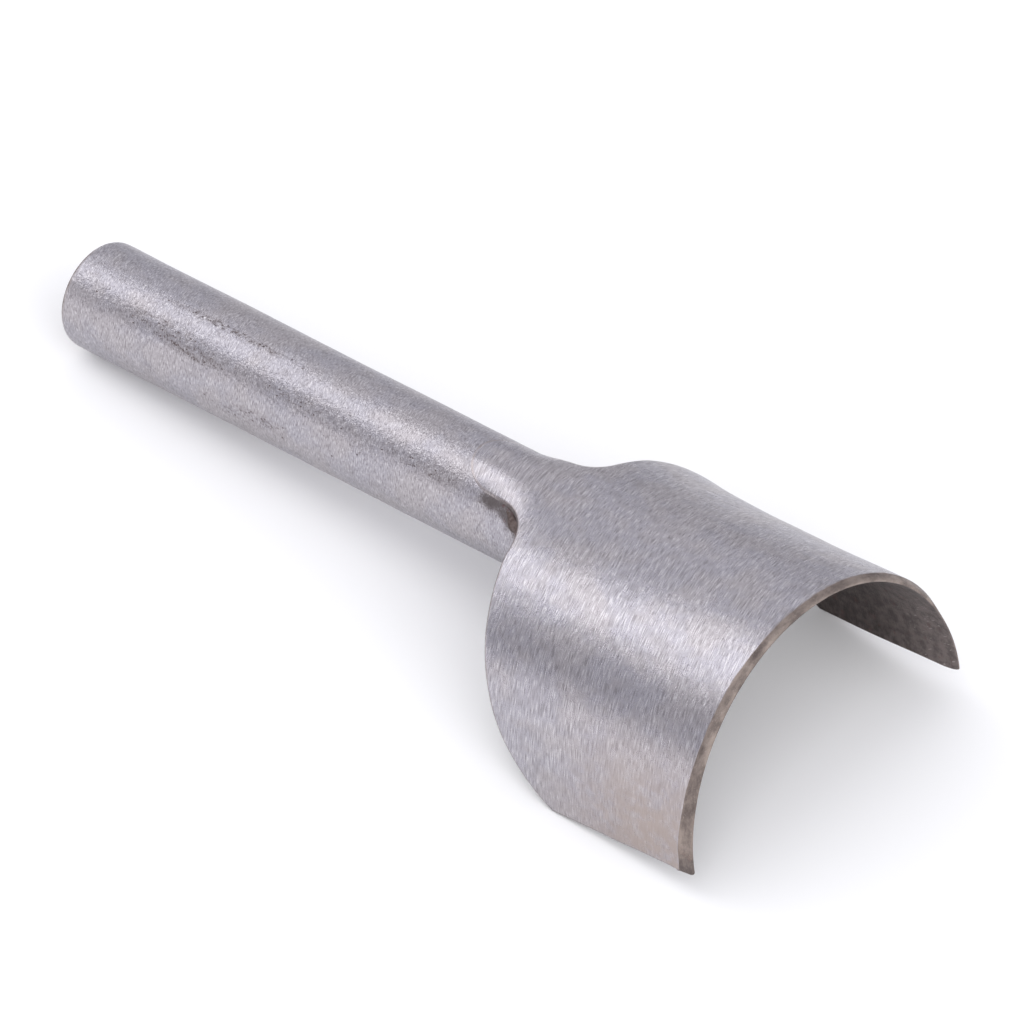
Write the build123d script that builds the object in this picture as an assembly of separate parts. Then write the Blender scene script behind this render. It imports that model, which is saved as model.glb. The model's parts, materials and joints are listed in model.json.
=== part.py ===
from build123d import *
import math
import os

# Half-round strap-end punch: a round steel bar with a bent steel plate lapped on its front end.
# Lengths are in millimetres. The tool is drawn with the bar along X, its struck end at X = 0 and
# the crown of the blade up, and is laid down on its table at the end of the script.

# Bar
SHANK_DIAMETER = 13.0
SHANK_END_ROUND = 1.3        # rounding of the struck end's rim
GRIP_LENGTH = 64.75          # struck end to where the bar starts to be dressed slimmer
NOSE_DIAMETER = 12.6         # width of the dressed bar at its nose
NOSE_BOTTOM = 86.75          # where the underside of the bar stops, under the blade
NOSE_TOP = 93.75             # where the bar's slanted nose meets the blade

# Blade
BLADE_FRONT = 111.15         # struck end to the centre of the cutting edge, along the bar
BLADE_DROP = 15.6            # centre of the half round, below the bar's axis
BLADE_PITCH = 2.5            # degrees that the blade's own axis rises towards the cutting edge
BORE_RADIUS = 22.2           # inside of the half round, so the punch cuts a 44.4 mm round end
HALF_ANGLE = 91.3            # degrees from the crown to each bottom edge
WALL_HEEL = 1.5              # plate thickness at the heel, where it is ground least
WALL_FRONT = 0.85            # plate thickness just behind the bevel
HEEL = 36.2                  # heel line behind the cutting edge
HEEL_LEAN = 27.0             # degrees that the heel edge leans forward on its way down
HEEL_STRAIGHT = 21.3         # height above the blade's axis where the heel starts to lean
HEEL_ROUND_START = 10.5      # height where the heel edge starts to round
EDGE_LENGTH = 20.7           # straight length of each bottom edge
BEVEL_SLOPE = 0.45           # rise of the cutting bevel for each millimetre behind the edge
LAND_CROWN = 0.45            # width left in front of the bevel at the crown
LAND_TIP = 0.06              # and at the two tips

# Tongue of the plate, let into the top of the bar and ground flush with it
TONGUE_END = 60.75           # rear end of the tongue
TONGUE_HALF_WIDTH = 4.7
FLARE_START = 65.25          # where the tongue starts to widen into the blade
NECK_FILLET = 6.0            # inside corner between the tongue and the heel

# Weld runs
SIDE_BEAD_RADIUS = 1.7
NOSE_BEAD_RADIUS = 1.5

# Rest on a table
REST_TILT = 6.74             # degrees that the bar rises towards the blade

shank_radius = SHANK_DIAMETER / 2
blade_place = Pos(BLADE_FRONT, 0, -BLADE_DROP) * Rot(0, -BLADE_PITCH, 0)


def bore_fill():
    # everything inside the blade's inner surface, carried on behind the heel
    length = 90
    return blade_place * Pos(-length / 2 + 5, 0, 0) * Rot(0, 90, 0) * Cylinder(BORE_RADIUS, length)


def plate_shell():
    # the bent plate as a sector of a slightly tapered ring, before its heel is trimmed
    section = Polyline(
        (0, 0, BORE_RADIUS),
        (-HEEL, 0, BORE_RADIUS),
        (-HEEL, 0, BORE_RADIUS + WALL_HEEL),
        (0, 0, BORE_RADIUS + WALL_FRONT),
        close=True,
    )
    ring = revolve(make_face(section), axis=Axis.X, revolution_arc=2 * HALF_ANGLE)
    return Rot(-HALF_ANGLE, 0, 0) * ring


def heel_outline():
    # side view of what is left of the plate, cut straight through from side to side
    straight_down = HEEL_STRAIGHT - HEEL_ROUND_START
    lean = straight_down * math.tan(math.radians(HEEL_LEAN))
    top_front = (5, 0, 30)
    top_rear = (-HEEL, 0, 30)
    lean_top = (-HEEL, 0, HEEL_STRAIGHT)
    lean_bottom = (-HEEL + lean, 0, HEEL_ROUND_START)
    corner = (-EDGE_LENGTH, 0, -0.6)
    low_front = (5, 0, -0.6)
    straights = Polyline(low_front, top_front, top_rear, lean_top, lean_bottom)
    along = (math.sin(math.radians(HEEL_LEAN)), 0, -math.cos(math.radians(HEEL_LEAN)))
    rounding = TangentArc(lean_bottom, corner, tangent=along)
    bottom = Line(corner, low_front)
    side_view = make_face([*straights.edges(), *rounding.edges(), *bottom.edges()])
    return extrude(side_view, amount=40, both=True)


def bevel_cutter():
    # ring outside a cone whose axis stands a little above the blade's own axis
    tip_radius = BORE_RADIUS + LAND_TIP
    section = Polyline(
        (1, 0, tip_radius - BEVEL_SLOPE),
        (-4, 0, tip_radius + 4 * BEVEL_SLOPE),
        (-4, 0, 40),
        (1, 0, 40),
        close=True,
    )
    return Pos(0, 0, LAND_CROWN - LAND_TIP) * revolve(make_face(section), axis=Axis.X)


def neck_outline():
    # plan view of the tongue and the two inside corners that widen it into the heel
    heel_x = BLADE_FRONT - HEEL
    corner_y = TONGUE_HALF_WIDTH + NECK_FILLET
    fillet_x = heel_x - 1 - NECK_FILLET
    tongue = Pos((TONGUE_END + 80) / 2 + TONGUE_HALF_WIDTH / 2, 0) * Rectangle(
        80 - TONGUE_END - TONGUE_HALF_WIDTH, 2 * TONGUE_HALF_WIDTH
    )
    rear_end = Pos(TONGUE_END + TONGUE_HALF_WIDTH, 0) * Circle(TONGUE_HALF_WIDTH)
    web = Pos((fillet_x + 80) / 2, 0) * Rectangle(80 - fillet_x, 2 * corner_y)
    plan = tongue + rear_end + web
    for side in (-1, 1):
        plan -= Pos(fillet_x, side * corner_y) * Circle(NECK_FILLET)
    return Pos(0, 0, -20) * extrude(plan, amount=60)


def arch(radius, half_angle, depth):
    # closed section in the YZ plane: an arc over a box that reaches down to the given height
    y = radius * math.sin(math.radians(half_angle))
    z = radius * math.cos(math.radians(half_angle))
    top = ThreePointArc((0, -y, z), (0, 0, radius), (0, y, z))
    sides = Polyline((0, y, z), (0, y, depth), (0, -y, depth), (0, -y, z))
    return make_face([*top.edges(), *sides.edges()])


def neck():
    # the tongue follows the round of the bar, then opens out to the round of the blade
    bar_section = Pos(FLARE_START, 0, 0) * arch(shank_radius, 90, -4)
    blade_section = blade_place * Pos(-HEEL, 0, 0) * arch(BORE_RADIUS + WALL_HEEL, 30, 12)
    flare = loft([bar_section, blade_section], ruled=True)
    tongue_length = FLARE_START - TONGUE_END
    tongue = Pos(TONGUE_END + tongue_length / 2, 0, 0) * Rot(0, 90, 0) * Cylinder(shank_radius, tongue_length)
    return ((flare + tongue) & neck_outline()) - bore_fill()


def make_blade():
    plate = (plate_shell() & heel_outline()) - bevel_cutter()
    return blade_place * plate + neck()


def make_shank():
    dressed = NOSE_TOP - GRIP_LENGTH
    bar = Pos(GRIP_LENGTH / 2, 0, 0) * Rot(0, 90, 0) * Cylinder(shank_radius, GRIP_LENGTH)
    rim = bar.edges().sort_by(Axis.X)[0]
    bar = fillet(rim, SHANK_END_ROUND)
    taper = Cone(shank_radius, NOSE_DIAMETER / 2, dressed)
    bar += Pos(GRIP_LENGTH + dressed / 2, 0, 0) * Rot(0, 90, 0) * taper
    # slanted nose, longest at the top
    nose = Polyline(
        (NOSE_BOTTOM, 0, -shank_radius),
        (NOSE_TOP, 0, shank_radius),
        (NOSE_TOP + 10, 0, shank_radius),
        (NOSE_TOP + 10, 0, -shank_radius - 5),
        (NOSE_BOTTOM, 0, -shank_radius - 5),
        close=True,
    )
    bar -= extrude(make_face(nose), amount=10, both=True)
    # seat for the tongue and the blade, a round-ended pocket that runs out to the full width of the bar
    seat_plan = Pos(TONGUE_END + TONGUE_HALF_WIDTH, 0) * Circle(TONGUE_HALF_WIDTH)
    seat_plan += Pos(TONGUE_END + TONGUE_HALF_WIDTH + 25, 0) * Rectangle(50, SHANK_DIAMETER + 2)
    return bar - (extrude(seat_plan, amount=20) - bore_fill())


def bead(start, end, radius):
    path = Line(start, end)
    run = sweep(Plane(path @ 0, z_dir=path % 0) * Circle(radius), path)
    return run + Pos(*start) * Sphere(radius) + Pos(*end) * Sphere(radius)


def make_side_weld(side, shank, blade):
    run = bead((72.75, side * 5.5, 3.7), (88.75, side * 4.4, 4.5), SIDE_BEAD_RADIUS)
    return ((run & bore_fill()) - shank) - blade


def make_nose_weld(shank, blade, others):
    run = bead((93.35, -2.2, 5.0), (93.35, 2.2, 5.0), NOSE_BEAD_RADIUS)
    run = ((run & bore_fill()) - shank) - blade
    for other in others:
        run -= other
    return run


shank = make_shank()
blade = make_blade()
weld_left = make_side_weld(1, shank, blade)
weld_right = make_side_weld(-1, shank, blade)
weld_nose = make_nose_weld(shank, blade, [weld_left, weld_right])

nodes = {
    "shank": shank,
    "blade": blade,
    "weld_left": weld_left,
    "weld_right": weld_right,
    "weld_nose": weld_nose,
}

# Lay the tool on the table: three points of contact, centred over the origin.
tilted = {name: Rot(0, -REST_TILT, 0) * shape for name, shape in nodes.items()}
box = Compound([*tilted.values()]).bounding_box()
lay_down = Pos(-box.center().X, -box.center().Y, -box.min.Z)

os.makedirs("parts", exist_ok=True)
for name, shape in tilted.items():
    export_step(lay_down * shape, f"parts/{name}.step")
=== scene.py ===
import json
import math

import bmesh
import bpy
from mathutils import Matrix, Vector, noise


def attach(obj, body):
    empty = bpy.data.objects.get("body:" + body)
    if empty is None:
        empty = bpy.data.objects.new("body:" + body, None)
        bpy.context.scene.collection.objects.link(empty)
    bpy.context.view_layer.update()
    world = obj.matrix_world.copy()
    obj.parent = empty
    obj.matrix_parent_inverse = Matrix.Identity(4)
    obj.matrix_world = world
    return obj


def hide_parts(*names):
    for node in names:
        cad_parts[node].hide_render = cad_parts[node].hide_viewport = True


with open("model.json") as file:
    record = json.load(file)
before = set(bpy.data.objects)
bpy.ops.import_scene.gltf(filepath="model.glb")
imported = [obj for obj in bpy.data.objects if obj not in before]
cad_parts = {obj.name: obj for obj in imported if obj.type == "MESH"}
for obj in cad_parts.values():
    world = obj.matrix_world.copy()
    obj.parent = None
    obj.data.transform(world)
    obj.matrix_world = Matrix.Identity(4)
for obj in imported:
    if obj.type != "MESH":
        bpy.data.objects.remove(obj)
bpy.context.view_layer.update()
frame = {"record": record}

# A half-round strap-end punch, all steel: a round bar that is struck, a half-round cutting plate
# whose rear tongue is let into the top of the bar, and three weld runs under the plate.
# Lengths are in millimetres and angles in radians where nothing else is said. The near side of
# the tool is its -Y side, and the far side its +Y side.

MM = 0.001

# The tool's own frame, from the record: X along the bar from the struck end, Z towards the crown.
mounts = {m["name"]: m for m in frame["record"]["mounts"]}
bar_x = -Vector(mounts["struck_end"]["axis"])
bar_y = Vector((0, 1, 0))
bar_z = bar_x.cross(bar_y)
bar_start = Vector(mounts["struck_end"]["pos_m"])

# The bar. Stations are measured along it from the struck end.
BAR_R = mounts["shank"]["dims"]["r_mm"]
BAR_END_ROUND = 1.3      # rounding of the struck end's rim
GRIP = 64.75             # station where the bar starts to taper
NOSE_R = 6.3             # radius that it tapers to
NOSE_BOTTOM = 86.75      # the nose is cut on a slant, between these two stations
NOSE_TOP = 93.75

# The blade. In its own frame x is 0 at the cutting edge and negative behind it, s is the distance
# round the outer face from the crown, and z is the height over the axis of the half round.
BLADE_FRONT = 111.15     # station of the cutting edge
BLADE_DROP = 15.6        # depth of the blade's axis under the bar's, at the cutting edge
PITCH = math.radians(2.5)
BORE = 22.2              # radius inside the half round
HALF_ANGLE = math.radians(91.3)
WALL_FRONT = 0.85
WALL_HEEL = 1.5
BULGE = 0.95             # how far the near side stands proud, towards the heel
HEEL = 36.2              # length from the cutting edge to the inside corners
HEEL_LEAN = math.radians(27)
HEEL_STRAIGHT = 21.3     # height where the leaning heel starts
HEEL_ROUND = 10.5        # height where it starts to round into the bottom edge
EDGE = 20.7              # length of the bottom edges
TONGUE_END = 60.75       # station of the tongue's round end
TONGUE_HALF = 4.95       # half width of the tongue
TONGUE_TAPER = 0.10      # how much that half width grows towards the blade
TONGUE_PROUD = 0.012     # how far the plate stands over the bar's own surface
NECK_FILLETS = {-1: 6.2, 1: 3.0}     # inside corners beside the tongue, near and far

# Swells and dips hammered into the far side of the blade: middle and length along x, and rise.
FAR_WAVES = (
    (-39.2, 3.2, 0.33),
    (-33.4, 3.4, 0.33),
    (-22.0, 4.5, -0.08),
    (-13.5, 5.5, -0.17),
)


def to_row(p):
    # a point in the tool's frame, in millimetres, as a point in the row frame, in metres
    return bar_start + (bar_x * p[0] + bar_y * p[1] + bar_z * p[2]) * MM


def smooth(a, b, x):
    # eases from 0 at a to 1 at b, whichever is the larger
    t = min(max((x - a) / (b - a), 0.0), 1.0)
    return t * t * (3 - 2 * t)


def mix(a, b, t):
    return a + (b - a) * t


def lump(x, y, z, size, seed):
    # smooth noise between about -1 and 1, with features of that size
    return noise.noise(Vector((x / size + seed, y / size - seed * 0.7, z / size + seed * 1.3)))


def ring_faces(rings):
    # four-sided faces that join each closed ring of points to the next
    out = []
    for a, b in zip(rings, rings[1:]):
        for k in range(len(a)):
            n = (k + 1) % len(a)
            out.append((a[k], b[k], b[n], a[n]))
    return out


# ---------------------------------------------------------------- blade surfaces

def blade_to_tool(x, y, z):
    return (
        BLADE_FRONT + x * math.cos(PITCH) - z * math.sin(PITCH),
        y,
        -BLADE_DROP + x * math.sin(PITCH) + z * math.cos(PITCH),
    )


def crown_x(x):
    # station along the bar of a point of the crown, from its x in the blade's frame
    return BLADE_FRONT + x * math.cos(PITCH) - (BORE + WALL_HEEL) * math.sin(PITCH)


def blade_station(x):
    # the other way round: x in the blade's frame, from a station along the bar
    return (x - crown_x(0)) / math.cos(PITCH)


HEEL_X = crown_x(-HEEL)


def on_plate(x):
    # 0 over the tongue, where the plate lies in the bar, and 1 in front of the heel
    return smooth(-HEEL - 4, -HEEL + 5, x)


def wall(x):
    t = min(max(-x / HEEL, 0.0), 1.0)
    return WALL_FRONT + (WALL_HEEL - WALL_FRONT) * t * t


def crown(x):
    # height of the crown over the blade's axis; behind the heel it follows the top of the bar
    plate = BORE + wall(x)
    bar_top = (BAR_R + BLADE_DROP) * math.cos(PITCH) - (crown_x(x) - BLADE_FRONT) * math.sin(PITCH)
    return mix(bar_top, plate, smooth(HEEL_X - 3, HEEL_X + 3, crown_x(x)))


def round_of(x):
    # radius of the outer surface across the blade: the bar's at the tongue, the plate's at the heel
    s = smooth(TONGUE_END + 4.4, HEEL_X + 0.6, crown_x(x))
    return 1.0 / mix(1 / BAR_R, 1 / (BORE + wall(x)), s)


def far_waves(x, s):
    waves = 0
    for middle, length, rise in FAR_WAVES:
        waves += rise * math.exp(-(((x - middle) / length) ** 2))
    return waves * smooth(0.3, 0.75, s / round_of(x))


def near_bulge(x, s):
    # the near side of the blade stands a little proud, more and more towards the heel
    rise = smooth(-3.5, -14.5, s) * (1 - smooth(-19, -33, s))
    return BULGE * rise * smooth(2, -44, x)


def outer(x, s):
    r = round_of(x)
    a = s / r
    dent = 0.075 * lump(x, s, 0, 9, 3.1) + 0.022 * lump(x, s * 0.7, 0, 3.5, 8.4)
    dent += near_bulge(x, s)
    dent *= on_plate(x)
    dent += far_waves(x, s) + TONGUE_PROUD
    return Vector((x, (r + dent) * math.sin(a), crown(x) - r + (r + dent) * math.cos(a)))


def inner(x, s):
    # the point of the inner face that lies square under an outer one, or straight below it where
    # the plate is let into the bar
    r = round_of(x)
    straight_down = math.asin(max(-1, min(1, r * math.sin(min(max(s / r, -1.5), 1.5)) / BORE)))
    a = mix(straight_down, s / r, smooth(HEEL_X - 2, HEEL_X + 4, crown_x(x)))
    dent = 0.03 * lump(x, s, 5, 7, 5.7)
    dent += 0.8 * (near_bulge(x, s) + far_waves(x, s)) * on_plate(x)
    return Vector((x, (BORE + dent) * math.sin(a), (BORE + dent) * math.cos(a)))


def between(x, s, depth):
    # point at that depth below the outer face, on the way to the inner one
    o = outer(x, s)
    i = inner(x, s)
    d = i - o
    return o + d * min(depth / max(d.length, 1e-6), 1.0)


# ---------------------------------------------------------------- blade outline

HALF = 170               # columns in each half of the plate
ROWS = 96                # rows from the cutting edge to the rear outline
STRAIGHT_WEIGHT = 0.12   # weight of the tongue's straight sides when the columns are shared out
STRAIGHT_END = HEEL_X - 6.5    # station where those sides end
FRONT_SPREAD = 0.45      # how evenly the columns are spread along the cutting edge
EDGE_S = (BORE + WALL_FRONT) * HALF_ANGLE
TIP_ROUND = {-1: (0.5, 0.5), 1: (0.75, 2.8)}   # how far the tips are worn, along s and along x
FAR_REACH = 0.45         # how far the far tip reaches further forward
NEAR_DROP = 0.5          # how much lower the near tip hangs


def half_rear(side, count):
    # rear outline of one half, from the middle of the tongue's end to the bottom corner, as (x, s)
    fillet = NECK_FILLETS[side]
    fillet_start = HEEL_X - fillet
    pts = []
    # the tongue's round end
    for k in range(13):
        a = math.radians(90 * k / 12)
        x = blade_station(TONGUE_END + TONGUE_HALF * (1 - math.cos(a)))
        pts.append((x, TONGUE_HALF * math.sin(a)))
    # its side
    for k in range(1, 5):
        x = blade_station(mix(TONGUE_END + TONGUE_HALF, fillet_start, k / 4))
        pts.append((x, TONGUE_HALF + TONGUE_TAPER * k / 4))
    # the inside corner
    for k in range(1, 17):
        a = math.radians(90 * k / 16)
        x = blade_station(fillet_start + fillet * math.sin(a))
        pts.append((x, TONGUE_HALF + TONGUE_TAPER + fillet * (1 - math.cos(a))))
    # the leaning heel
    lean_x = -HEEL + (HEEL_STRAIGHT - HEEL_ROUND) * math.tan(HEEL_LEAN)
    for k in range(1, 11):
        x = mix(-HEEL, lean_x, k / 10)
        z = mix(HEEL_STRAIGHT, HEEL_ROUND, k / 10)
        r = round_of(x)
        pts.append((x, r * math.acos(z / r)))
    # its rounding, tangent to the lean, down to the bottom corner
    end_x, end_z = -EDGE, BORE * math.cos(HALF_ANGLE)
    reach = math.hypot(end_x - lean_x, end_z - HEEL_ROUND)
    mid_x = lean_x + 0.5 * reach * math.sin(HEEL_LEAN)
    mid_z = HEEL_ROUND - 0.5 * reach * math.cos(HEEL_LEAN)
    for k in range(1, 15):
        t = k / 14
        x = (1 - t) ** 2 * lean_x + 2 * t * (1 - t) * mid_x + t * t * end_x
        z = (1 - t) ** 2 * HEEL_ROUND + 2 * t * (1 - t) * mid_z + t * t * end_z
        r = round_of(x)
        pts.append((x, min(r * math.acos(max(-1, min(1, z / r))), r * HALF_ANGLE)))
    return resample(pts, count)


def weighted_run(pts):
    # length along a rear outline, where the straight side of the tongue counts for little
    runs = [0.0]
    for a, b in zip(pts, pts[1:]):
        station = crown_x((a[0] + b[0]) / 2)
        straight = TONGUE_END + TONGUE_HALF < station < STRAIGHT_END
        runs.append(runs[-1] + (STRAIGHT_WEIGHT if straight else 1.0) * math.dist(a, b))
    return runs


def resample(pts, count):
    runs = weighted_run(pts)
    out = []
    k = 0
    for n in range(count):
        want = runs[-1] * n / (count - 1)
        while k < len(pts) - 2 and runs[k + 1] < want:
            k += 1
        t = (want - runs[k]) / max(runs[k + 1] - runs[k], 1e-9)
        out.append((mix(pts[k][0], pts[k + 1][0], t), mix(pts[k][1], pts[k + 1][1], t)))
    return out


def smooth_line(pts, rounds):
    for _ in range(rounds):
        new = list(pts)
        for k in range(1, len(pts) - 1):
            new[k] = tuple((pts[k - 1][c] + 2 * pts[k][c] + pts[k + 1][c]) / 4 for c in (0, 1))
        pts = new
    return pts


def half_plate(side):
    # matching rows of points along the rear outline and along the cutting edge of one half
    rear = smooth_line(half_rear(side, HALF + 1), 3)
    runs = weighted_run(rear)
    front = []
    for (_, s), run in zip(rear, runs):
        # the columns beside the tongue run straight forward, so that none crosses another
        spread = FRONT_SPREAD * smooth(TONGUE_HALF + 0.4, 12, s)
        front.append((0.0, EDGE_S * mix(s / rear[-1][1], run / runs[-1], spread)))
    return rear, front


rear_far, front_far = half_plate(1)
rear_near, front_near = half_plate(-1)
rear = [(x, -s) for x, s in reversed(rear_near)] + rear_far[1:]
front = [(x, -s) for x, s in reversed(front_near)] + front_far[1:]
COLS = len(rear)


def row_share(i):
    # rows crowd towards the cutting edge and the heel
    t = i / ROWS
    return mix(t, t * t * (3 - 2 * t), 0.6)


# closed outline: front from one tip to the other, side, rear back, side
loop = [("f", j) for j in range(COLS)]
loop += [("r", i) for i in range(1, ROWS)]
loop += [("b", j) for j in reversed(range(COLS))]
loop += [("l", i) for i in reversed(range(1, ROWS))]


def outline_point(tag, n):
    if tag == "f":
        return front[n]
    if tag == "b":
        return rear[n]
    t = row_share(n)
    j = COLS - 1 if tag == "r" else 0
    return (mix(front[j][0], rear[j][0], t), mix(front[j][1], rear[j][1], t))


outline = [outline_point(*e) for e in loop]


def inward(k):
    a = outline[k - 1]
    b = outline[(k + 1) % len(outline)]
    d = (b[0] - a[0], b[1] - a[1])
    n = math.hypot(*d) or 1e-9
    # the outline runs from -s to +s along the front, so the inside is on its left
    return (-d[1] / n, d[0] / n)


normals = [inward(k) for k in range(len(outline))]


def worn(x, s):
    # the bottom edges rise a little where the tips are worn round
    wear_s, wear_x = TIP_ROUND[1 if s > 0 else -1]
    near_edge = smooth(0.75, 1.0, abs(s) / EDGE_S)
    back = min(max(1 + x / wear_x, 0.0), 1.0)
    lift = wear_s * (1 - math.sqrt(max(1 - back * back, 0.0)))
    if s < 0:
        lift -= NEAR_DROP * smooth(-3.2, 0, x)
    reach = FAR_REACH * smooth(0.6, 1.0, s / EDGE_S) * smooth(-8, 0, x)
    return x + reach, s * (1 - near_edge * lift / EDGE_S)


# ---------------------------------------------------------------- blade rim and bevel

# steps across the rounded rim, as (inset from the outline, depth below the outer face)
RIM = [(0.34, 0.0), (0.22, 0.012), (0.12, 0.05), (0.045, 0.12), (0.0, 0.24)]
# and across the bevel, as shares of its width and of its depth
BEVEL = [(1.06, 0.0), (1.0, 0.012), (0.93, 0.05), (0.5, 0.5), (0.0, 1.0)]
# how much of the edge's own finish each step has
RIM_FINISH = (0.0, 0.2, 0.9, 1.0, 1.0)
FLUSH = 0.02             # share of the rim's depth that is left where it is flush with the bar
INNER_INSET = 0.12       # rounding of the inner rim, along the face and down the edge
INNER_ROUND = 0.08


def set_back(s):
    # how far behind the cutting edge the bevel starts, at this distance round from the crown
    a = min(abs(s) / EDGE_S, 1.0)
    waver = 0.15 * lump(s, 0, 0, 4.5, 1.9) + 0.05 * lump(s, 0, 0, 1.6, 7.7)
    wide = mix(1.15, 1.25, smooth(-2, 2, s))
    return 0.66 + wide * a ** 2.2 + waver


def land(s):
    # thickness that the bevel leaves at the cutting edge
    a = min(abs(s) / EDGE_S, 1.0)
    return mix(0.42, 0.10, a)


def edge_shown(tag, x):
    # the plate's edge sinks flush into the bar round the end of the tongue
    return smooth(TONGUE_END + 2.5, TONGUE_END + 8, crown_x(x)) if tag == "b" else 1.0


def rim_step(k, step):
    # place in the plane of the developed plate, depth below its outer face, and share of bevel
    tag, _ = loop[k]
    x, s = outline[k]
    bevel_end = set_back(s) * BEVEL[0][0]
    drop = wall(0) - land(s)
    rim_in, rim_down = RIM[step]
    bevel_in, bevel_down = BEVEL[step]
    side = 1 if s > 0 else -1
    if tag == "f" or (tag in "rl" and -x < bevel_end):
        share = 1.0 if tag == "f" else 1 + x / bevel_end
        keep = bevel_in / BEVEL[0][0]
        corner = (min(x, -bevel_end), side * min(abs(s), EDGE_S - RIM[0][0]))
        down = mix(rim_down, bevel_down * drop, share)
        return mix(x, corner[0], keep), mix(s, corner[1], keep), down, share
    n = normals[k]
    down = rim_down * mix(FLUSH, 1, edge_shown(tag, x))
    return x + n[0] * rim_in, s + n[1] * rim_in, down, 0.0


def neck_stain(x, s):
    # oxide left in the two inside corners beside the tongue
    station = crown_x(x)
    return smooth(TONGUE_END + 1.5, TONGUE_END + 5.5, station) * (1 - smooth(12, 15, abs(s))) * (
        1 - smooth(HEEL_X + 1, HEEL_X + 3, station))


# ---------------------------------------------------------------- blade mesh

places = []
marks = []     # share of bevel, of inside face, of plate edge
stains = []    # dark oxide, warm tint, pits


def put(p, mark, stain):
    places.append(blade_to_tool(*p))
    marks.append(mark)
    stains.append(stain)
    return len(places) - 1


def grid(face, inside):
    # a sheet of the plate, bounded by the outline drawn in to where its rim starts
    edge = []
    for k in range(len(outline)):
        if inside:
            n = normals[k]
            edge.append((outline[k][0] + n[0] * INNER_INSET, outline[k][1] + n[1] * INNER_INSET))
        else:
            edge.append(rim_step(k, 0)[:2])
    f = edge[:COLS]
    b = list(reversed(edge[COLS + ROWS - 1:2 * COLS + ROWS - 1]))
    r = [f[-1]] + edge[COLS:COLS + ROWS - 1] + [b[-1]]
    l = [f[0]] + list(reversed(edge[2 * COLS + ROWS - 1:])) + [b[0]]
    ids = []
    for i in range(ROWS + 1):
        t = row_share(i)
        line = []
        for j in range(COLS):
            u = j / (COLS - 1)
            x = mix(f[j][0], b[j][0], t)
            s = mix(f[j][1], b[j][1], t)
            # ease the straight rows onto the two bottom edges
            for edge_row, column, near in ((l, 0, 1 - u * 12), (r, -1, 1 - (1 - u) * 12)):
                ease = max(0.0, near)
                x += (edge_row[i][0] - mix(f[column][0], b[column][0], t)) * ease
                s += (edge_row[i][1] - mix(f[column][1], b[column][1], t)) * ease
            x, s = worn(x, s)
            if inside:
                nicks = smooth(0.55, 0.8, s / EDGE_S) * smooth(-9, -2, x)
                # the dark scale is thinner towards the two front tips
                scale = 1 - smooth(-13, 0, x) * smooth(0.35, 0.85, abs(s) / EDGE_S)
                line.append(put(face(x, s), (0, 1, 0), (scale, nicks, 0.2)))
            else:
                low = smooth(0.55, 0.9, -s / EDGE_S) * smooth(-24, -6, x)
                soft = 0.55 * math.exp((x + set_back(s)) / 0.45) * smooth(-14, -4, s)
                line.append(put(face(x, s), (soft, 0, 0), (0, low, 0.14)))
        ids.append(line)
    return ids


def rim_of(ids):
    ring = list(ids[0])
    ring += [ids[i][-1] for i in range(1, ROWS)]
    ring += list(reversed(ids[-1]))
    ring += [ids[i][0] for i in reversed(range(1, ROWS))]
    return ring


def faces_of(ids, flip):
    out = []
    for i in range(len(ids) - 1):
        for j in range(len(ids[0]) - 1):
            q = (ids[i][j], ids[i][j + 1], ids[i + 1][j + 1], ids[i + 1][j])
            out.append(q if flip else tuple(reversed(q)))
    return out


def rim_ring(step):
    ring = []
    for k in range(len(outline)):
        x, s, down, share = rim_step(k, step)
        x, s = worn(x, s)
        shown = RIM_FINISH[step] * edge_shown(loop[k][0], x)
        # the rim is also darker towards the near bottom edge and its tip, in the colour of the neck
        # oxide
        oxide = max(0.75 * neck_stain(x, s), 0.6 * smooth(0.86, 0.97, -s / EDGE_S))
        mark = (share * shown, 0, (1 - share) * shown)
        ring.append(put(between(x, s, down), mark, (max(oxide, 0.15) * shown, 0.5, 0)))
    return ring


def lower_ring():
    ring = []
    for k in range(len(outline)):
        x, s = worn(*outline[k])
        last, share = rim_step(k, len(RIM) - 1)[2:]
        depth = max((inner(x, s) - outer(x, s)).length - INNER_ROUND, last)
        mark = (share, 0, 1 - share)
        ring.append(put(between(x, s, depth), mark, (max(neck_stain(x, s), 0.15), 0.5, 0)))
    return ring


def make_object(name, node, places, faces, marks, stains, along):
    me = bpy.data.meshes.new(name)
    me.from_pydata([tuple(to_row(p)) for p in places], [], faces)
    for label, rows in (
        ("spot", places),
        ("marks", marks),
        ("stains", stains),
        ("grain", [along] * len(places)),
    ):
        me.attributes.new(label, "FLOAT_VECTOR", "POINT")
        me.attributes[label].data.foreach_set("vector", [c for row in rows for c in row])
    # points that all but coincide become one, and every face looks outwards
    bm = bmesh.new()
    bm.from_mesh(me)
    bmesh.ops.remove_doubles(bm, verts=bm.verts, dist=0.004 * MM)
    bmesh.ops.recalc_face_normals(bm, faces=bm.faces)
    bm.to_mesh(me)
    bm.free()
    me.polygons.foreach_set("use_smooth", [True] * len(me.polygons))
    ob = bpy.data.objects.new(name, me)
    bpy.context.scene.collection.objects.link(ob)
    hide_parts(node)
    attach(ob, "root")
    return ob


top = grid(outer, False)
bottom = grid(inner, True)
rings = [rim_of(top)]
rings += [rim_ring(step) for step in range(1, len(RIM))]
rings += [lower_ring(), rim_of(bottom)]
blade_x = (bar_x * math.cos(PITCH) + bar_z * math.sin(PITCH)).normalized()
blade_ob = make_object(
    "blade_plate", "blade", places,
    faces_of(top, True) + faces_of(bottom, False) + ring_faces(rings), marks, stains, blade_x,
)

# ---------------------------------------------------------------- bar surface

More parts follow.
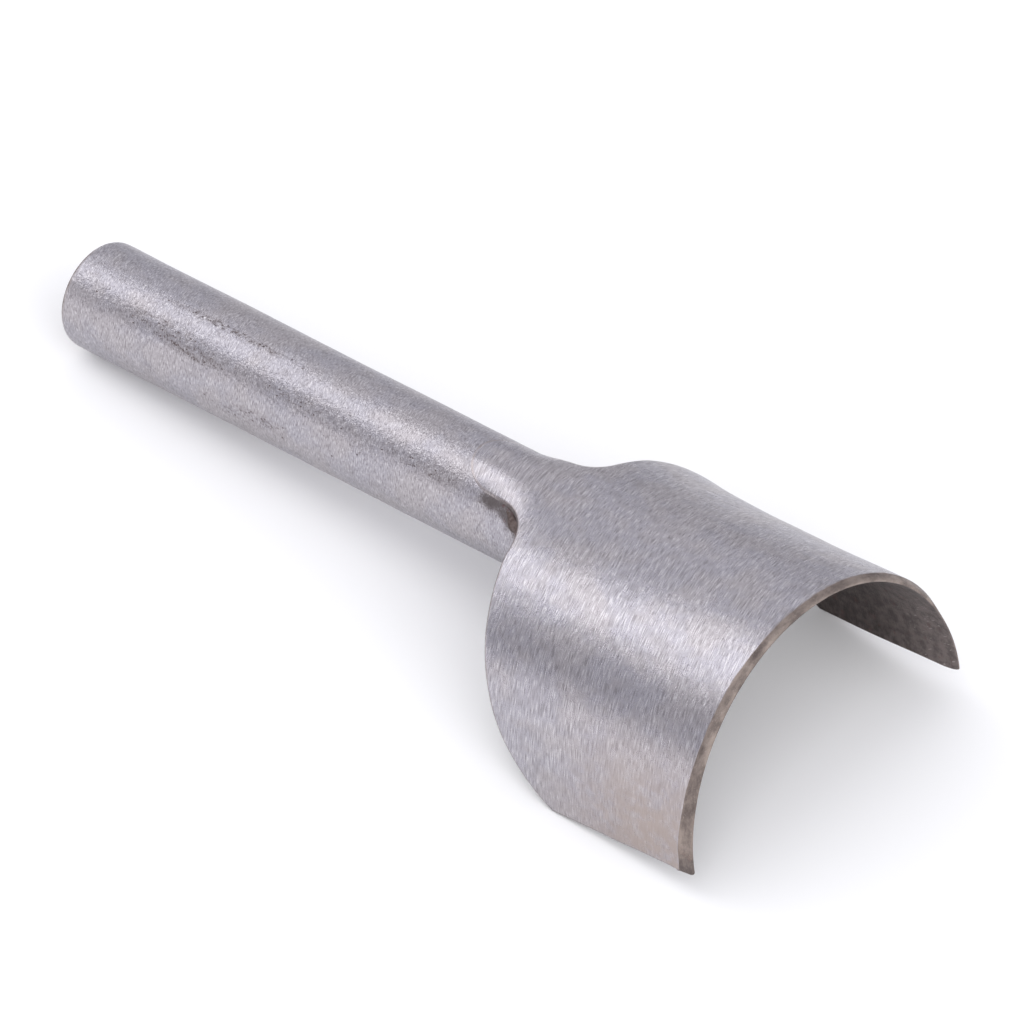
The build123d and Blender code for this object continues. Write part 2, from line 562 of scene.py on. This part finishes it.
AROUND = 256             # points in each ring of the bar
BAR_STEP = 0.5           # distance between its rings
NECK_STEP = 0.35         # and between those near the blade, from NECK_START on
NECK_START = 58
DOME = 0.05              # how far the struck face is domed
FACE_RINGS = (0.6, 1.4, 2.4, 3.4, 4.3, 4.9)
NOSE_SHARES = (0.0, 0.25, 0.5, 0.75, 0.9, 0.97)
NOSE_ROUND = 0.15        # rounding of the nose's rim
NOSE_CAPS = ((0.985, 0.10), (0.955, 0.15), (0.8, 0.15), (0.5, 0.15), (0.2, 0.15))
SEAT_DEPTH = 0.6         # how far the bar drops away under the end of the tongue
SEAT_GAP = 0.02          # clearance under the rest of the plate
HOLLOW = 33.6            # station of a shallow hollow on the near side of the crown
HOLLOW_TURN = 0.42       # and its angle round from the crown

# Where the bar is pitted: a line along the crown's near side, a streak below it, some patches. As
# station, angle round from the crown in degrees, length along and round, and weight.
PITTED = (
    (24, -14, 9, 4, 1.0),
    (21, -54, 4, 5, 0.9),
    (15, -44, 9, 12, 0.50),
    (37, -48, 10, 12, 0.46),
    (57, -50, 7, 10, 0.46),
    (33, -84, 6, 9, 0.28),
    (47, -66, 5, 8, 0.34),
    (28, -95, 8, 14, 0.35),
    (40, 60, 12, 20, 0.4),
    (15, 140, 9, 30, 0.5),
)


def seat_height(x, y):
    # height of the blade's inner surface over the bar's axis
    xl = (x - BLADE_FRONT) / math.cos(PITCH) + BORE * math.tan(PITCH)
    z = math.sqrt(max(BORE ** 2 - y ** 2, 0))
    return -BLADE_DROP + xl * math.sin(PITCH) + z * math.cos(PITCH)


def inside_tongue(x, y):
    # distance from the tongue's outline, positive under the tongue
    centre = TONGUE_END + TONGUE_HALF
    return TONGUE_HALF - (math.hypot(x - centre, y) if x < centre else abs(y))


def bar_radius(x):
    if x < GRIP:
        return BAR_R
    return mix(BAR_R, NOSE_R, (x - GRIP) / (NOSE_TOP - GRIP))


def plate_half_width(x, side):
    # half width of the tongue and of its inside corners at a station along the bar
    fillet = NECK_FILLETS[side]
    t = min(max((x - (HEEL_X - fillet)) / fillet, 0.0), 1.0)
    developed = TONGUE_HALF + TONGUE_TAPER + fillet * (1 - math.sqrt(1 - t * t))
    r = round_of(blade_station(x))
    return r * math.sin(developed / r)


def weld_rise(x, y):
    # how far the weld in the inside corner lifts the bar's surface towards the plate's edge
    side = 1 if y > 0 else -1
    half = plate_half_width(x, side)
    if half > 6.4 or not TONGUE_END + TONGUE_HALF < x < 74:
        return 0.0
    outside = max(abs(y) - half, 0.0)
    xl = blade_station(x)
    r = round_of(xl)
    plate = blade_to_tool(*outer(xl, side * r * math.asin(half / r)))[2]
    rise = plate - math.sqrt(BAR_R ** 2 - half ** 2) - 0.30
    return min(max(rise, 0.0), 1.6) * 0.75 * math.exp(-outside / 0.5)


def bar_point(x, a):
    # point of the bar's side at a station and an angle round from the crown
    r = bar_radius(x)
    dent = 0.05 * lump(x * 0.6, math.sin(a) * 6, math.cos(a) * 6, 7, 2.2)
    dent += 0.022 * lump(x * 0.7, math.sin(a) * 6, math.cos(a) * 6, 2.6, 6.1)
    turn = (a + math.pi) % (2 * math.pi) - math.pi
    dent -= 0.10 * math.exp(-(((x - HOLLOW) / 1.9) ** 2) - ((turn + HOLLOW_TURN) / 0.24) ** 2)
    dent *= smooth(0.3, 3, x) * (1 - smooth(55, 60, x))
    r += dent
    y, z = r * math.sin(a), r * math.cos(a)
    if z > 0:
        z -= SEAT_DEPTH * smooth(0.25, 1.4, inside_tongue(x, y))
        if x > TONGUE_END + TONGUE_HALF and abs(y) < plate_half_width(x, 1 if y > 0 else -1) - 0.35:
            z = min(z, seat_height(x, y) - SEAT_GAP)
        else:
            z += weld_rise(x, y)
    return (x, y, z)


def nose_x(z):
    # station of the slanted nose at a height over the bar's axis
    return mix(NOSE_BOTTOM, NOSE_TOP, (z + BAR_R) / (2 * BAR_R))


def bar_stain(p):
    x, y, z = p
    a = math.degrees(math.atan2(y, z))
    pits = 0.20
    for x0, a0, size_x, size_a, weight in PITTED:
        pits += weight * math.exp(-(((x - x0) / size_x) ** 2) - ((a - a0) / size_a) ** 2)
    # oxide beside the tongue and under the blade
    outside = abs(y) - plate_half_width(x, 1 if y > 0 else -1)
    along = smooth(TONGUE_END + 1.8, TONGUE_END + 6, x)
    beside = along * (1 - smooth(0.3, 1.5, outside)) * smooth(0.5, 3.5, z) if z > 0 else 0
    corner = 0.8 * smooth(70.6, 72.6, x + 0.12 * min(z, 4)) * smooth(1.5, 4.5, z) if x > 70 else 0
    oxide = max(beside, corner, 0.9 * smooth(72, 92, x))
    rim = 1 - smooth(0.45, 1.05, x)
    return (max(oxide, 0.75 * rim), rim, pits)


# ---------------------------------------------------------------- bar mesh

bar_places = []
bar_rings = []


def bar_ring(points):
    first = len(bar_places)
    bar_places.extend(points)
    bar_rings.append(list(range(first, len(bar_places))))


angles = [2 * math.pi * k / AROUND for k in range(AROUND)]
# struck face: a shallow dome with a few flattened marks
for r in FACE_RINGS:
    bar_ring([
        (DOME * (r / (BAR_R - BAR_END_ROUND)) ** 2
         + 0.03 * lump(r * math.sin(a), r * math.cos(a), 0, 2.2, 4.4),
         r * math.sin(a), r * math.cos(a))
        for a in angles
    ])
# its rounded rim
for k in range(9):
    t = math.radians(90 * k / 8)
    x = BAR_END_ROUND * (1 - math.cos(t))
    r = BAR_R - BAR_END_ROUND * (1 - math.sin(t))
    bar_ring([(x + DOME, r * math.sin(a), r * math.cos(a)) for a in angles])
# the side
x = BAR_END_ROUND + 0.4
while x < NOSE_BOTTOM - 1.0:
    bar_ring([bar_point(x, a) for a in angles])
    x += NECK_STEP if x > NECK_START else BAR_STEP
# the slanted nose
nose_start = [bar_point(x, a) for a in angles]
for t in NOSE_SHARES:
    bar_ring([
        bar_point(mix(x, nose_x(p[2]) - NOSE_ROUND, t), a) for p, a in zip(nose_start, angles)
    ])
edge_ring = [bar_places[i] for i in bar_rings[-1]]
for shrink, push in NOSE_CAPS:
    bar_ring([
        (nose_x(p[2] * shrink) - NOSE_ROUND + push, p[1] * shrink, p[2] * shrink)
        for p in edge_ring
    ])
bar_faces = ring_faces(bar_rings)
for ring, flip in ((bar_rings[0], False), (bar_rings[-1], True)):
    bar_places.append(tuple(sum((Vector(bar_places[i]) for i in ring), Vector()) / len(ring)))
    c = len(bar_places) - 1
    for k in range(AROUND):
        n = (k + 1) % AROUND
        bar_faces.append((c, ring[n], ring[k]) if flip else (c, ring[k], ring[n]))

bar_ob = make_object(
    "bar", "shank", bar_places, bar_faces,
    [(0, 0, 0)] * len(bar_places), [bar_stain(p) for p in bar_places], bar_x,
)

# ---------------------------------------------------------------- weld runs

WELD_START = 68.2        # the two side runs start thin at this station
WELD_FULL = 73.0         # are full about here
WELD_END = 89.5          # and end here
WELD_THIN = 0.2          # their radius at the start, and where they are full
WELD_R = 1.15
NOSE_WELD_X = 93.2       # station of the run across the nose
NOSE_WELD_HALF = 3.0     # its half length
NOSE_WELD_DEPTH = 0.60   # its depth under the plate
NOSE_WELD_R = 1.0


def weld_run(name, node, path, radius, seed):
    # a rippled bead along a path in the tool's frame
    count, sides = 130, 28
    places = []
    for i in range(count + 1):
        t = i / count
        c = path(t)
        ahead = (path(min(t + 0.01, 1)) - path(max(t - 0.01, 0))).normalized()
        side = ahead.cross(Vector((0, 0, 1))).normalized()
        up = side.cross(ahead)
        end = math.sqrt(max(1 - abs(2 * t - 1) ** 10, 0.0))
        for k in range(sides):
            a = 2 * math.pi * k / sides
            ripple = 0.06 * math.sin(t * 70 + 1.2 * math.cos(a))
            ripple += 0.08 * lump(t * 20, math.cos(a), math.sin(a), 1.5, seed)
            r = radius(t) * max(end, 0.05) * (1 + ripple)
            places.append(tuple(c + side * (r * math.cos(a)) + up * (r * math.sin(a))))
    rings = [list(range(i * sides, (i + 1) * sides)) for i in range(count + 1)]
    faces = ring_faces(rings)
    faces.append(tuple(rings[0]))
    faces.append(tuple(reversed(rings[-1])))
    blank = [(0, 0, 0)] * len(places)
    return make_object(name, node, places, faces, blank, blank, bar_x)


def side_path(side):
    def path(t):
        x = mix(WELD_START, WELD_END, t)
        y = min(plate_half_width(x, side), 5.7) - 0.9 * smooth(WELD_FULL, WELD_END, x)
        r = bar_radius(x)
        z = mix(math.sqrt(r * r - y * y), seat_height(x, y), 0.5)
        return Vector((x, side * y, z - 0.15))
    return path


def side_radius(t):
    x = mix(WELD_START, WELD_END, t)
    return mix(WELD_THIN, WELD_R, smooth(WELD_START, WELD_FULL - 0.8, x))


def nose_path(t):
    y = mix(-NOSE_WELD_HALF, NOSE_WELD_HALF, t)
    return Vector((NOSE_WELD_X, y, seat_height(NOSE_WELD_X, y) - NOSE_WELD_DEPTH))


welds = (
    weld_run("weld_bead_left", "weld_left", side_path(1), side_radius, 1.0),
    weld_run("weld_bead_right", "weld_right", side_path(-1), side_radius, 2.0),
    weld_run("weld_bead_nose", "weld_nose", nose_path, lambda t: NOSE_WELD_R, 3.0),
)

# ---------------------------------------------------------------- materials

COOL_STEEL = (0.415, 0.398, 0.438, 1)
NEUTRAL_STEEL = (0.440, 0.412, 0.432, 1)
DULL_PATCH = (0.33, 0.305, 0.315, 1)
# painted glints and painted shade of the scratches, laid into the steel's colour
PAINTED_GLINT = (0.66, 0.64, 0.66, 1)
PAINTED_STROKE_SHADE = (0.19, 0.175, 0.185, 1)
DARK_GRAIN = (0.20, 0.178, 0.180, 1)
WARM_TINT = (0.408, 0.342, 0.316, 1)
GRIME = (0.215, 0.190, 0.192, 1)
PIT = (0.080, 0.055, 0.051, 1)
EDGE_STEEL = (0.21, 0.18, 0.175, 1)
BEVEL_DARK = (0.150, 0.122, 0.112, 1)
BEVEL_LIGHT = (0.370, 0.308, 0.272, 1)
BEVEL_SPECK = (0.52, 0.46, 0.43, 1)
SCALE_DARK = (0.079, 0.068, 0.066, 1)
SCALE_LIGHT = (0.146, 0.122, 0.117, 1)
SCALE_THIN = (0.245, 0.208, 0.200, 1)
SCALE_RED = (0.160, 0.092, 0.084, 1)
SCALE_NICK = (0.48, 0.44, 0.42, 1)
NECK_GREY = (0.140, 0.120, 0.118, 1)
NECK_RED = (0.130, 0.078, 0.074, 1)
WELD_DARK = (0.080, 0.058, 0.054, 1)
WELD_LIGHT = (0.180, 0.140, 0.130, 1)
STEEL_SHEEN = (0.84, 0.84, 0.84, 1)
STEEL_RELIEF = 0.000022  # height of the ground steel's relief, in metres
WELD_RELIEF = 0.00005    # and of the weld's


class Nodes:
    """Short calls for building a node tree."""

    def __init__(self, name):
        self.material = bpy.data.materials.new(name)
        self.material.use_nodes = True
        self.tree = self.material.node_tree
        self.tree.nodes.clear()
        self.out = self.tree.nodes.new("ShaderNodeOutputMaterial")
        self.shader = self.tree.nodes.new("ShaderNodeBsdfPrincipled")
        self.tree.links.new(self.shader.outputs[0], self.out.inputs["Surface"])

    def link(self, value, socket):
        if isinstance(value, bpy.types.NodeSocket):
            self.tree.links.new(value, socket)
        else:
            socket.default_value = value

    def attribute(self, name):
        n = self.tree.nodes.new("ShaderNodeAttribute")
        n.attribute_name = name
        return n.outputs["Vector"]

    def math(self, op, a, b, c=0.0):
        n = self.tree.nodes.new("ShaderNodeMath")
        n.operation = op
        for value, socket in zip((a, b, c), n.inputs):
            self.link(value, socket)
        return n.outputs[0]

    def stretch(self, vector, scale, turn=None):
        # turned first, then scaled, so that a stretched pattern can run askew
        steps = [("Scale", scale)] if turn is None else [("Rotation", turn), ("Scale", scale)]
        for socket, value in steps:
            n = self.tree.nodes.new("ShaderNodeMapping")
            n.inputs[socket].default_value = value
            self.link(vector, n.inputs["Vector"])
            vector = n.outputs[0]
        return vector

    def parts(self, vector):
        n = self.tree.nodes.new("ShaderNodeSeparateXYZ")
        self.link(vector, n.inputs[0])
        return n.outputs[0], n.outputs[1], n.outputs[2]

    def noise(self, spot, scale, detail, rough, turn=None):
        vector = self.stretch(spot, scale, turn)
        n = self.tree.nodes.new("ShaderNodeTexNoise")
        self.link(vector, n.inputs["Vector"])
        n.inputs["Scale"].default_value = 1.0
        n.inputs["Detail"].default_value = detail
        n.inputs["Roughness"].default_value = rough
        return n.outputs[0]

    def cells(self, spot, scale):
        vector = self.stretch(spot, scale)
        n = self.tree.nodes.new("ShaderNodeTexVoronoi")
        self.link(vector, n.inputs["Vector"])
        n.inputs["Scale"].default_value = 1.0
        return n.outputs["Distance"], n.outputs["Color"]

    def ramp(self, value, low, high, out_low=0.0, out_high=1.0):
        n = self.tree.nodes.new("ShaderNodeMapRange")
        n.interpolation_type = "SMOOTHSTEP"
        self.link(value, n.inputs["Value"])
        n.inputs["From Min"].default_value = low
        n.inputs["From Max"].default_value = high
        n.inputs["To Min"].default_value = out_low
        n.inputs["To Max"].default_value = out_high
        return n.outputs[0]

    def blend(self, factor, a, b):
        n = self.tree.nodes.new("ShaderNodeMix")
        n.data_type = "RGBA"
        self.link(factor, n.inputs["Factor"])
        self.link(a, n.inputs[6])
        self.link(b, n.inputs[7])
        return n.outputs[2]

    def wash(self, colour, mask, share, tint):
        # lays a tint over a colour, by that share of a mask
        return self.blend(self.math("MULTIPLY", mask, share), colour, tint)

    def bump(self, height, distance):
        n = self.tree.nodes.new("ShaderNodeBump")
        n.inputs["Strength"].default_value = 1.0
        n.inputs["Distance"].default_value = distance
        self.link(height, n.inputs["Height"])
        return n.outputs[0]


def ground_steel(name, scratch, run, grain_size, grain_depth, base_rough):
    # scratch is the depth of the scratches, and run how short they are round the tool
    m = Nodes(name)
    spot = m.attribute("spot")
    bevel, inside, edge = m.parts(m.attribute("marks"))
    oxide, warm, pitted = m.parts(m.attribute("stains"))

    # scratches run round the tool: thin along X, long across it
    fine = m.noise(spot, (11.0, run, run), 2.0, 0.6, (0, 0.03, -0.07))
    strokes = m.noise(spot, (6.5, run * 0.6, run * 0.6), 1.0, 0.5, (0, -0.06, 0.10))
    dashes_and_glints = m.noise(spot, (9.5, run * 0.9, run * 0.9), 0.0, 0.5, (0, 0.05, -0.22))
    waves = m.noise(spot, (2.6, 2.2, 2.2), 2.0, 0.6)
    patch = m.noise(spot, (0.16, 0.22, 0.22), 3.0, 0.55)
    cloud = m.noise(spot, (0.55, 0.8, 0.8), 3.0, 0.6)
    speck = m.noise(spot, (grain_size, grain_size, grain_size), 2.0, 0.6)

    # pits: cells of a fine pattern, more of them where the attribute is high
    dist, cell = m.cells(spot, (1.9, 2.3, 2.3))
    chosen = m.math("LESS_THAN", m.math("MULTIPLY", cell, 1.25), m.math("MULTIPLY", pitted, pitted))
    hole = m.math("MULTIPLY", m.ramp(dist, 0.16, 0.36, 1.0, 0.0), chosen)
    cluster = m.noise(spot, (1.3, 2.2, 2.2), 2.0, 0.6)
    rusty = m.math("MULTIPLY", m.ramp(speck, 0.44, 0.60), m.ramp(pitted, 0.30, 0.80))
    rusty = m.math("MULTIPLY", rusty, m.ramp(cluster, 0.46, 0.60))
    hole = m.math("MAXIMUM", hole, m.math("MULTIPLY", rusty, 0.85))

    colour = m.blend(m.ramp(patch, 0.38, 0.62), COOL_STEEL, NEUTRAL_STEEL)
    colour = m.wash(colour, m.ramp(cloud, 0.45, 0.72), 0.30, DULL_PATCH)
    # short scratches are painted lighter and darker into the colour: painted glints and painted
    # shade of their reflections
    colour = m.wash(colour, m.ramp(dashes_and_glints, 0.58, 0.72), 0.60, PAINTED_GLINT)
    colour = m.wash(colour, m.ramp(dashes_and_glints, 0.41, 0.29), 0.50, PAINTED_STROKE_SHADE)
    colour = m.wash(colour, m.ramp(speck, 0.56, 0.70), 0.40, DARK_GRAIN)
    tint = m.math("MULTIPLY", warm, m.ramp(cloud, 0.30, 0.60, 0.5, 1.0))
    colour = m.wash(colour, tint, 0.9, WARM_TINT)
    grime = m.math("MULTIPLY", m.ramp(pitted, 0.30, 1.0), m.ramp(cluster, 0.36, 0.58))
    colour = m.wash(colour, grime, 0.42, GRIME)
    colour = m.wash(colour, hole, 0.75, PIT)
    rough = m.math("MULTIPLY_ADD", fine, 0.10, base_rough - 0.05)
    rough = m.math("MULTIPLY_ADD", cloud, 0.16, rough)

    height = m.math("MULTIPLY", fine, scratch)
    height = m.math("MULTIPLY_ADD", strokes, scratch * 1.3, height)
    height = m.math("MULTIPLY_ADD", dashes_and_glints, scratch * 0.6, height)
    height = m.math("MULTIPLY_ADD", speck, grain_depth, height)
    height = m.math("MULTIPLY_ADD", waves, grain_depth * 1.1, height)
    height = m.math("MULTIPLY_ADD", hole, -1.5, height)
    normal = m.bump(height, STEEL_RELIEF)

    # the bevel: brown, blotched and duller, with lighter specks
    blotch = m.noise(spot, (0.6, 0.26, 0.26), 5.0, 0.70)
    brown = m.blend(m.ramp(blotch, 0.33, 0.67), BEVEL_DARK, BEVEL_LIGHT)
    brown = m.wash(brown, m.ramp(speck, 0.62, 0.72), 0.5, BEVEL_SPECK)
    on_bevel = m.ramp(m.math("MULTIPLY_ADD", cloud, 0.35, bevel), 0.45, 0.85)

    # dark oxide inside the half round, with red-brown spots and a few bright nicks
    scale = m.noise(spot, (0.9, 0.9, 0.9), 5.0, 0.66)
    dark = m.blend(m.ramp(scale, 0.36, 0.66), SCALE_DARK, SCALE_LIGHT)
    bare = m.math("SUBTRACT", 1.0, oxide)
    thin = m.math("MULTIPLY", bare, m.ramp(scale, 0.36, 0.62, 0.45, 1.0))
    dark = m.blend(thin, dark, SCALE_THIN)
    red = m.noise(spot, (0.8, 0.9, 0.9), 3.0, 0.6)
    dark = m.wash(dark, m.ramp(red, 0.58, 0.70), 0.45, SCALE_RED)
    nick = m.noise(spot, (1.2, 7.0, 2.0), 0.0, 0.5, (0.5, 0.4, 0.3))
    nick = m.math("MULTIPLY", m.ramp(nick, 0.74, 0.82), m.math("MULTIPLY", warm, inside))
    dark = m.wash(dark, nick, 0.7, SCALE_NICK)

    # oxide outside it, in the neck corners and on the struck rim, and a darker rim towards the near
    # bottom edge and tip, with ragged edges
    mottle = m.math("MULTIPLY_ADD", cloud, 0.9, m.math("MULTIPLY_ADD", speck, 0.7, oxide))
    stained = m.ramp(mottle, 1.0, 1.75)
    stained = m.math("MULTIPLY", stained, m.math("SUBTRACT", 1.0, inside))

    colour = m.wash(colour, edge, 0.6, EDGE_STEEL)
    colour = m.blend(on_bevel, colour, brown)
    scab = m.blend(m.ramp(red, 0.54, 0.64), NECK_GREY, NECK_RED)
    colour = m.wash(colour, stained, 0.90, scab)
    colour = m.blend(inside, colour, dark)
    rough = m.math("MULTIPLY_ADD", on_bevel, 0.14, rough)
    rough = m.math("MULTIPLY_ADD", inside, 0.22, rough)
    rough = m.math("MULTIPLY_ADD", stained, 0.2, rough)
    m.link(colour, m.shader.inputs["Base Color"])
    m.link(rough, m.shader.inputs["Roughness"])
    m.link(normal, m.shader.inputs["Normal"])
    m.shader.inputs["Metallic"].default_value = 1.0
    m.shader.inputs["Specular Tint"].default_value = STEEL_SHEEN
    m.shader.inputs["Anisotropic"].default_value = 0.55
    m.link(m.attribute("grain"), m.shader.inputs["Tangent"])
    return m.material


def weld_metal(name):
    m = Nodes(name)
    spot = m.attribute("spot")
    scale = m.noise(spot, (1.6, 1.6, 1.6), 4.0, 0.6)
    fine = m.noise(spot, (6.0, 6.0, 6.0), 2.0, 0.6)
    colour = m.blend(m.ramp(scale, 0.36, 0.66), WELD_DARK, WELD_LIGHT)
    height = m.math("MULTIPLY_ADD", fine, 0.3, scale)
    m.link(colour, m.shader.inputs["Base Color"])
    m.link(m.math("MULTIPLY_ADD", scale, 0.3, 0.4), m.shader.inputs["Roughness"])
    m.link(m.bump(height, WELD_RELIEF), m.shader.inputs["Normal"])
    m.shader.inputs["Metallic"].default_value = 0.85
    return m.material


blade_ob.data.materials.append(ground_steel(
    "blade_ground", scratch=1.35, run=0.95, grain_size=7.0, grain_depth=0.8, base_rough=0.20,
))
bar_ob.data.materials.append(ground_steel(
    "bar_ground", scratch=0.5, run=2.4, grain_size=5.0, grain_depth=2.5, base_rough=0.25,
))
weld_material = weld_metal("weld_oxide")
for ob in welds:
    ob.data.materials.append(weld_material)

# ---------------------------------------------------------------- floor and light

FLOOR_HALF = 4.0         # half width of the floor, in metres
FLOOR_CELLS = 48         # faces along each side of it
LIT_STATION = 70         # the station along the bar that the lights face


def add_floor():
    half = FLOOR_CELLS // 2
    w = FLOOR_CELLS + 1
    v = [((i / half - 1) * FLOOR_HALF, (j / half - 1) * FLOOR_HALF, 0.0)
         for j in range(w) for i in range(w)]
    f = [(j * w + i, j * w + i + 1, (j + 1) * w + i + 1, (j + 1) * w + i)
         for j in range(FLOOR_CELLS) for i in range(FLOOR_CELLS)]
    me = bpy.data.meshes.new("floor")
    me.from_pydata(v, [], f)
    ob = bpy.data.objects.new("floor", me)
    bpy.context.scene.collection.objects.link(ob)
    m = Nodes("floor_white")
    m.shader.inputs["Base Color"].default_value = (0.94, 0.94, 0.94, 1)
    m.shader.inputs["Roughness"].default_value = 0.85
    m.shader.inputs["Specular IOR Level"].default_value = 0.2
    me.materials.append(m.material)


def add_panel(name, place, length, width, radiance, colour=(1, 1, 1)):
    # an even rectangular light in the tool's directions, in metres from the bar's front end,
    # facing it, with its long side across the line of sight
    light = bpy.data.lights.new(name, "AREA")
    light.shape = "RECTANGLE"
    light.size = length
    light.size_y = width
    light.energy = radiance * math.pi * length * width
    light.color = colour
    ob = bpy.data.objects.new(name, light)
    away = bar_x * place[0] + bar_y * place[1] + bar_z * place[2]
    out = away.normalized()
    long_side = bar_y if abs(place[1]) < 0.01 else bar_x
    side = (long_side - out * out.dot(long_side)).normalized()
    turn = Matrix((side, out.cross(side), out)).transposed().to_4x4()
    ob.matrix_world = Matrix.Translation(to_row((LIT_STATION, 0, 0)) + away) @ turn
    ob.visible_camera = False
    bpy.context.scene.collection.objects.link(ob)
    return ob


add_floor()
add_panel("overhead", (-0.49, -0.160, 0.695), 1.5, 0.51, 1.16)
add_panel("far_soft", (-0.725, 0.62, 0.884), 2.0, 1.05, 0.25)
add_panel("near_side", (-0.46, -1.15, 0.15), 2.0, 0.38, 0.73, (1.0, 0.98, 0.98))
add_panel("front", (1.15, 0.0, 0.40), 1.6, 0.7, 1.30)
# lights the floor under the arch and leaves no glare on the steel
fill = add_panel("floor_fill", (0.90, -0.80, 0.80), 1.5, 1.5, 1.7)
fill.visible_glossy = False

world = bpy.data.worlds.new("studio")
world.use_nodes = True
background = world.node_tree.nodes["Background"]
background.inputs["Color"].default_value = (0.97, 0.97, 1.04, 1)
background.inputs["Strength"].default_value = 0.65
bpy.context.scene.world = world

# ---------------------------------------------------------------- camera

# It stands in the tool's own directions: turned, raised and rolled, far off with a long lens.
AZIMUTH = math.radians(45.32)
ELEVATION = math.radians(38.313)
ROLL = math.radians(-5.024)
DISTANCE = 2000.0
LENS = 611.0
# the point that it looks at, from the middle of the struck face
AIM_RIGHT = 45.557
AIM_DOWN = 24.216
AIM_AHEAD = 3.253


def in_row(v):
    # a direction in the tool's frame, as one in the row frame
    return bar_x * v.x + bar_y * v.y + bar_z * v.z


camera_data = bpy.data.cameras.new("camera")
camera_data.lens = LENS
camera_data.sensor_width = 36.0
camera_data.clip_start = 0.05
camera_data.clip_end = 20
camera = bpy.data.objects.new("camera", camera_data)
bpy.context.scene.collection.objects.link(camera)
back = Vector((
    math.cos(ELEVATION) * math.sin(AZIMUTH),
    -math.cos(ELEVATION) * math.cos(AZIMUTH),
    math.sin(ELEVATION),
))
level = Vector((math.cos(AZIMUTH), math.sin(AZIMUTH), 0))
right = level * math.cos(ROLL) + back.cross(level) * math.sin(ROLL)
up = back.cross(right)
aim = right * AIM_RIGHT - up * AIM_DOWN + Vector((AIM_AHEAD, 0, 0))
rotation = Matrix((in_row(right), in_row(up), in_row(back))).transposed().to_4x4()
camera.matrix_world = Matrix.Translation(to_row(aim + back * DISTANCE)) @ rotation
bpy.context.scene.camera = camera
bpy.context.scene.view_settings.view_transform = "Standard"
